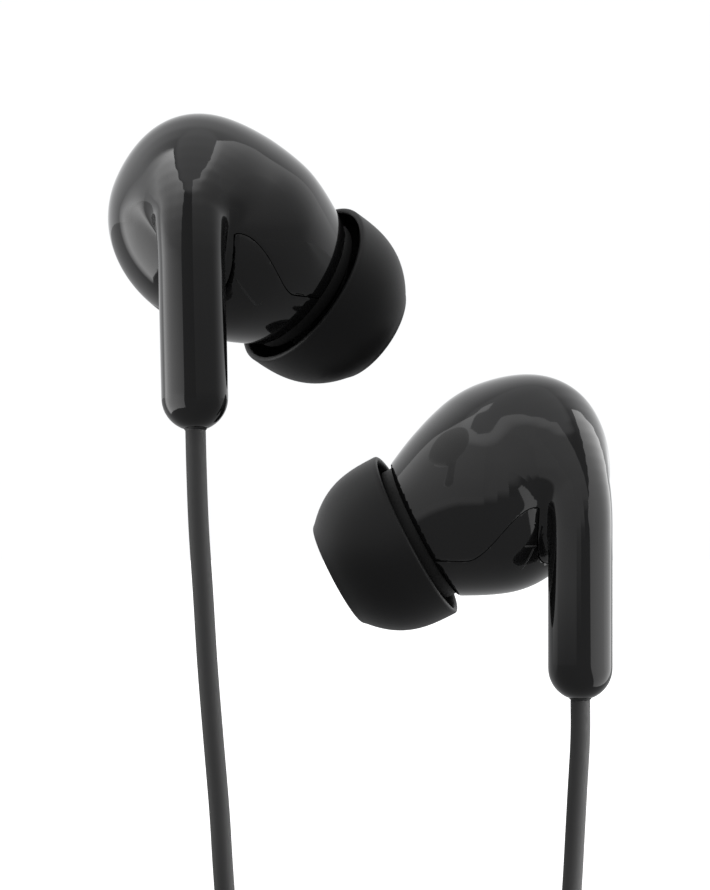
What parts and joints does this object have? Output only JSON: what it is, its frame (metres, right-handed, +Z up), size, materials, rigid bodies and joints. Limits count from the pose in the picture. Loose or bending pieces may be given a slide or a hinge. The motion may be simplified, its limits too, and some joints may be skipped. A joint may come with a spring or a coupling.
{
  "type": "wired earphones",
  "caption": "Wired in-ear earphones with hanging stems, pull-off silicone tips, an inline remote, a Y-split and a 3.5 mm plug, cable folded in a tied hank.",
  "frame": {"origin": "centre of the left ear tip's mouth, where it sits in the left ear canal", "axes": "+Z up, both stems and cables hang down; +X from the left bud to the right bud; +Y from the outer faces of the buds inwards"},
  "size_m": [0.0355, 0.0319, 0.1532],
  "materials": {
    "gloss_black": "piano gloss",
    "satin_black": "fine satin",
    "silicone": "soft matte",
    "grille_mesh": "woven mesh",
    "dark_plastic": "moulded",
    "plated_steel": "plated",
    "magnet": "nickel plated",
    "copper_wire": "enamelled copper",
    "diaphragm_film": "thin film",
    "board_green": "solder mask",
    "soft_black": "soft touch",
    "cable_jacket": "matte elastomer",
    "strap": "hook and loop",
    "contact_gold": "gold plated"
  },
  "bodies": {
    "earphones": {"left_shell": "gloss_black", "left_belly_cover": "gloss_black", "left_nozzle": "satin_black", "left_nozzle_grille": "grille_mesh", "left_driver_frame": "dark_plastic", "left_driver_yoke": "plated_steel", "left_driver_magnet": "magnet", "left_voice_coil": "copper_wire", "left_diaphragm": "diaphragm_film", "left_terminal_board": "board_green", "left_cord_grommet": "soft_black", "left_cord_anchor": "soft_black", "left_inner_wires": "copper_wire", "right_shell": "gloss_black", "right_belly_cover": "gloss_black", "right_nozzle": "satin_black", "right_nozzle_grille": "grille_mesh", "right_driver_frame": "dark_plastic", "right_driver_yoke": "plated_steel", "right_driver_magnet": "magnet", "right_voice_coil": "copper_wire", "right_diaphragm": "diaphragm_film", "right_terminal_board": "board_green", "right_cord_grommet": "soft_black", "right_cord_anchor": "soft_black", "right_inner_wires": "copper_wire", "left_lead": "cable_jacket", "right_lead": "cable_jacket", "main_lead": "cable_jacket", "cord_hank": "cable_jacket", "hank_tie": "strap", "y_split": "soft_black", "remote_front_shell": "gloss_black", "remote_back_shell": "gloss_black", "remote_board": "board_green", "remote_switches": "plated_steel", "remote_microphone": "contact_gold", "plug_grip": "gloss_black", "plug_strain_relief": "soft_black", "plug_sleeve": "contact_gold", "plug_rings": "contact_gold", "plug_tip": "contact_gold", "plug_insulators": "satin_black"},
    "left_tip": {"left_ear_tip": "silicone"},
    "right_tip": {"right_ear_tip": "silicone"},
    "volume_up": {"volume_up_button": "satin_black"},
    "play": {"play_button": "satin_black"},
    "volume_down": {"volume_down_button": "satin_black"}
  },
  "joints": [
    {"name": "left_tip_pull", "type": "slide", "parent": "earphones", "child": "left_tip", "axis": [0.7362, 0.4514, -0.5041], "range_m": [0, 0.007]},
    {"name": "right_tip_pull", "type": "slide", "parent": "earphones", "child": "right_tip", "axis": [-0.8798, 0.119, -0.4602], "range_m": [0, 0.007]},
    {"name": "volume_up_press", "type": "slide", "parent": "earphones", "child": "volume_up", "axis": [0, 1, 0], "range_m": [0, 0.0003], "stiffness_N_per_m": 1500},
    {"name": "play_press", "type": "slide", "parent": "earphones", "child": "play", "axis": [0, 1, 0], "range_m": [0, 0.0003], "stiffness_N_per_m": 1500},
    {"name": "volume_down_press", "type": "slide", "parent": "earphones", "child": "volume_down", "axis": [0, 1, 0], "range_m": [0, 0.0003], "stiffness_N_per_m": 1500}
  ]
}
